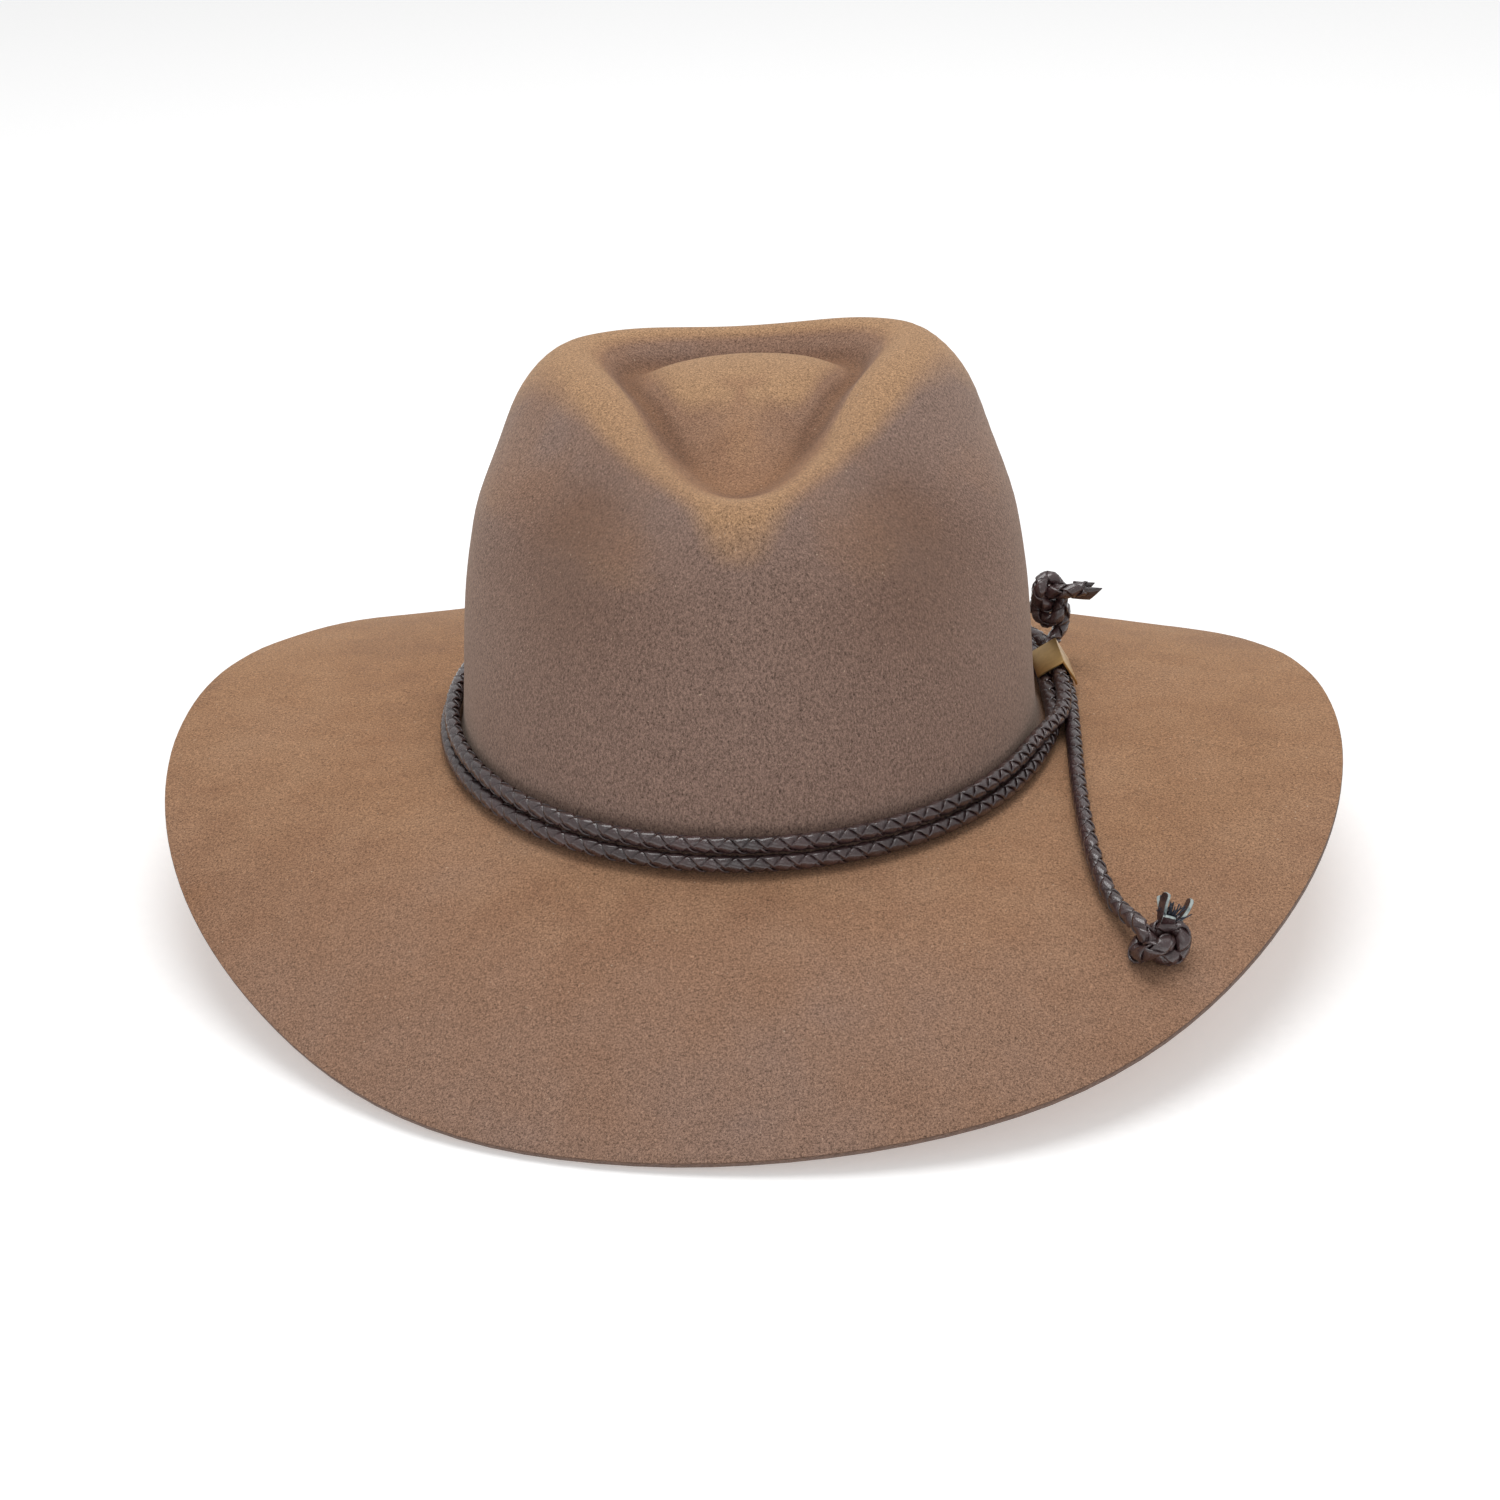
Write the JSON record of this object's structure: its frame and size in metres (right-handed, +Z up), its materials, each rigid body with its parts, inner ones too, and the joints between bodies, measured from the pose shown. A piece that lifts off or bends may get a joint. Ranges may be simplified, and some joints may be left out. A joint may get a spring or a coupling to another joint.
{
  "type": "cowboy hat",
  "caption": "Wide-brimmed felt cowboy hat with a teardrop crown, leather sweatband, satin lining and a braided leather cord band held by a folded metal slide.",
  "frame": {"origin": "on the surface the hat stands on, under the middle of the crown, level with the brim's lowest edge", "axes": "+Z up, -Y to the front of the hat, +X to the wearer's left"},
  "size_m": [0.3546, 0.3837, 0.1548],
  "materials": {
    "felt": "short brushed nap, tan brown",
    "sweatband_leather": "smooth tan leather",
    "reed_tape": "woven tape over a plastic reed",
    "thread": "sewing thread",
    "ribbon": "satin ribbon",
    "satin": "satin lining",
    "lace_leather": "glossy dark chocolate leather",
    "core_thread": "frayed dark thread",
    "slide_brass": "brushed antique brass"
  },
  "bodies": {
    "hat": {"felt_body": "felt", "sweatband": "sweatband_leather", "sweatband_reed": "reed_tape", "sweatband_stitches": "thread", "sweatband_bow": "ribbon", "lining_side": "satin", "lining_tip": "satin"},
    "hat_band": {"band_cord": "lace_leather", "band_tail_lower": "lace_leather", "band_tail_upper": "lace_leather", "knot_lower": "lace_leather", "knot_upper": "lace_leather", "knot_lower_lace_ends": "lace_leather", "knot_lower_core_threads": "core_thread", "knot_upper_cut_end": "lace_leather"},
    "slide": {"cord_slide": "slide_brass"}
  },
  "joints": [
    {"name": "hat_band_lift", "type": "slide", "parent": "hat", "child": "hat_band", "axis": [0, 0, 1], "range_m": [0, 0.13]},
    {"name": "cord_slide_travel", "type": "slide", "parent": "hat_band", "child": "slide", "axis": [-0.0697, 0.9962, 0.0523], "range_m": [-0.003, 0.003]}
  ]
}
